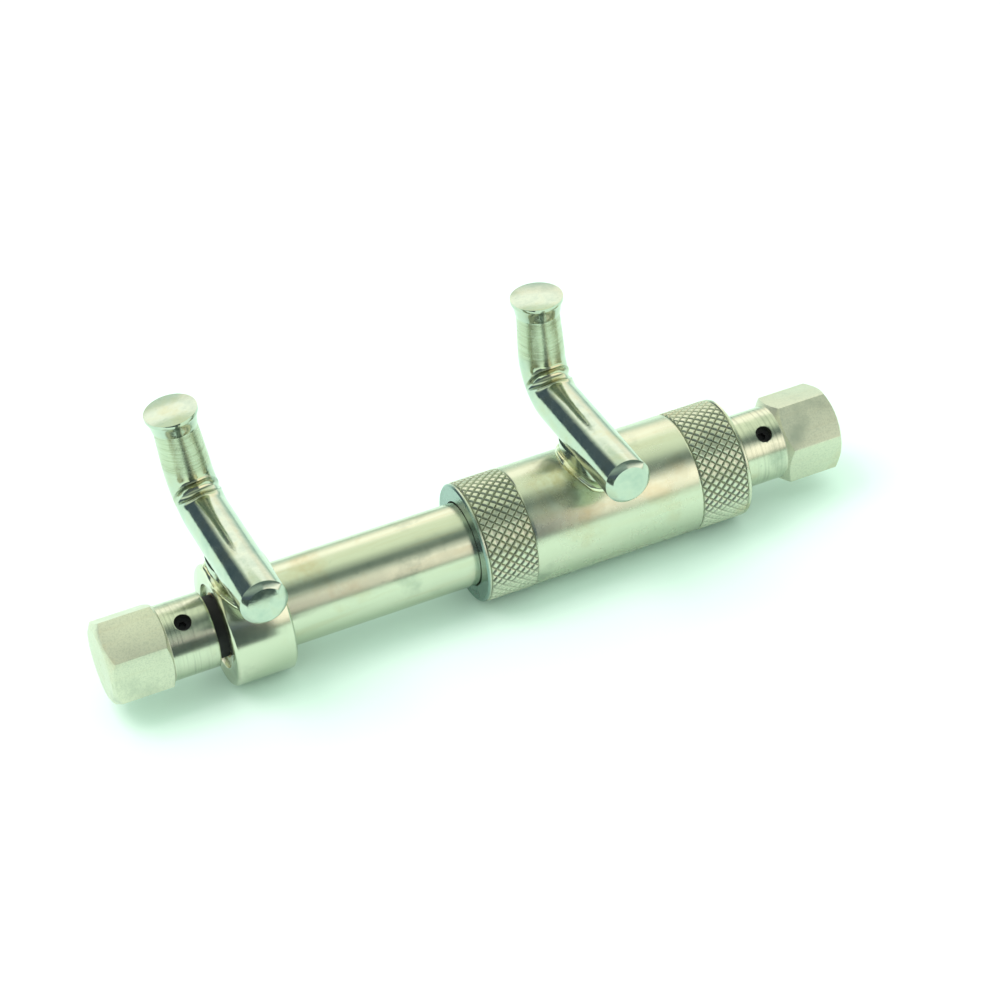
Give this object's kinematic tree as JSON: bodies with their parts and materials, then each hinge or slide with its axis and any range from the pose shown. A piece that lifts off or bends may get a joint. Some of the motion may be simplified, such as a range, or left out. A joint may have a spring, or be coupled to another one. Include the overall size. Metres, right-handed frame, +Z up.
{
  "type": "adjustable two-arm spindle",
  "caption": "Hex-ended spindle in a plain tube, with one bent arm on a fixed collar and one on a knurled sleeve that slides and turns.",
  "frame": {"origin": "on the spindle axis, midway between the two hex end faces", "axes": "+X along the spindle towards the knurled sleeve's end, +Z up towards the arm heads, +Y back, away from the arms' plain ends"},
  "size_m": [0.166, 0.0473, 0.0549],
  "materials": {
    "satin_nickel": "satin nickel plate over turned hex bar",
    "tube_nickel": "semi-bright nickel plate, fine lengthwise haze",
    "bright_nickel": "bright nickel plate, polished",
    "ground_steel": "ground",
    "black_steel": "black oxide",
    "black_nylon": "matte",
    "white_nylon": "matte",
    "bronze": "sintered bronze, matte",
    "braze": "brazing metal, uneven, partly plated over",
    "ring_rubber": "matte"
  },
  "bodies": {
    "tube": {"slide_tube": "tube_nickel", "arm_collar": "tube_nickel", "left_bush": "bronze", "right_bush": "bronze", "left_arm_seat": "bright_nickel", "left_arm_rod": "bright_nickel", "left_arm_braze": "braze", "left_bend_braze": "braze"},
    "spindle": {"spindle_rod": "ground_steel", "left_hex_end": "satin_nickel", "right_hex_end": "satin_nickel", "left_set_screw": "black_steel", "right_set_screw": "black_steel", "left_thrust_washer": "black_nylon", "right_thrust_washer": "black_nylon"},
    "carrier": {"slide_liner": "white_nylon", "left_friction_ring": "ring_rubber", "right_friction_ring": "ring_rubber"},
    "sleeve": {"grip_sleeve": "tube_nickel", "sleeve_end_ring": "ground_steel", "right_arm_seat": "bright_nickel", "right_arm_rod": "bright_nickel", "right_arm_braze": "braze", "right_bend_braze": "braze"}
  },
  "joints": [
    {"name": "spindle_turn", "type": "hinge", "parent": "tube", "child": "spindle", "pos_m": [0, 0, 0], "axis": [1, 0, 0], "continuous": true},
    {"name": "sleeve_slide", "type": "slide", "parent": "tube", "child": "carrier", "axis": [1, 0, 0], "range_m": [-0.0415, 0.0105]},
    {"name": "sleeve_turn", "type": "hinge", "parent": "carrier", "child": "sleeve", "pos_m": [0, 0, 0], "axis": [1, 0, 0], "continuous": true}
  ]
}
